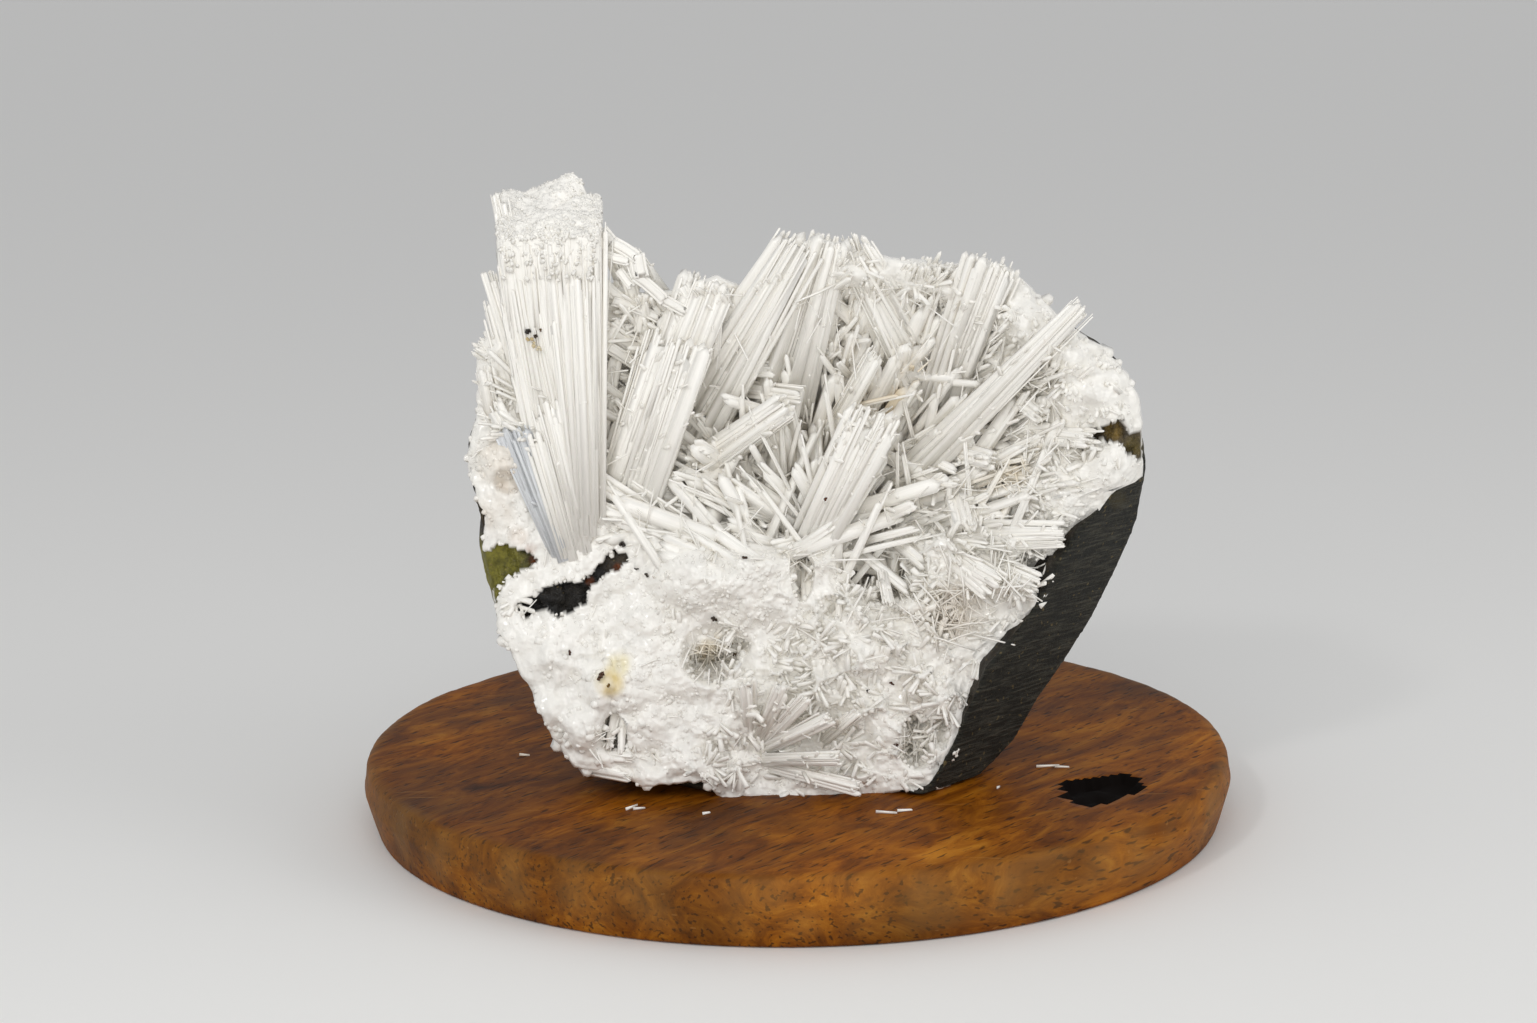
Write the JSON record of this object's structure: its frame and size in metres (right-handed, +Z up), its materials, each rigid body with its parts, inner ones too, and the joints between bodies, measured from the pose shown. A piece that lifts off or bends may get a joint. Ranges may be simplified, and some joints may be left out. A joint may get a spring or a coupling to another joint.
{
  "type": "scolecite geode on a wooden stand",
  "caption": "Half geode of slender white scolecite crystals in a dark basalt rind, with a tall sheaf at the upper left, resting on a low round turned wooden stand.",
  "frame": {"origin": "centre of the wooden stand's underside, on the surface that it stands on", "axes": "+Z up, -Y toward the geode's open face, +X to the viewer's right when facing the open face"},
  "size_m": [0.3, 0.3, 0.2239],
  "materials": {
    "basalt": "dark grey-green basalt, sawn flat at the lower right and broken rough behind, with olive and brown weathering on its skin",
    "scolecite": "milky white translucent zeolite, silky along the crystals and glassy at their ends",
    "stand_wood": "old warm orange-brown turned hardwood under worn wax, with dark pores and scratches"
  },
  "bodies": {
    "root": {"basalt_rind": "basalt", "scolecite_crust": "scolecite", "tall_scolecite_column": "scolecite", "wooden_stand": "stand_wood"}
  },
  "joints": []
}
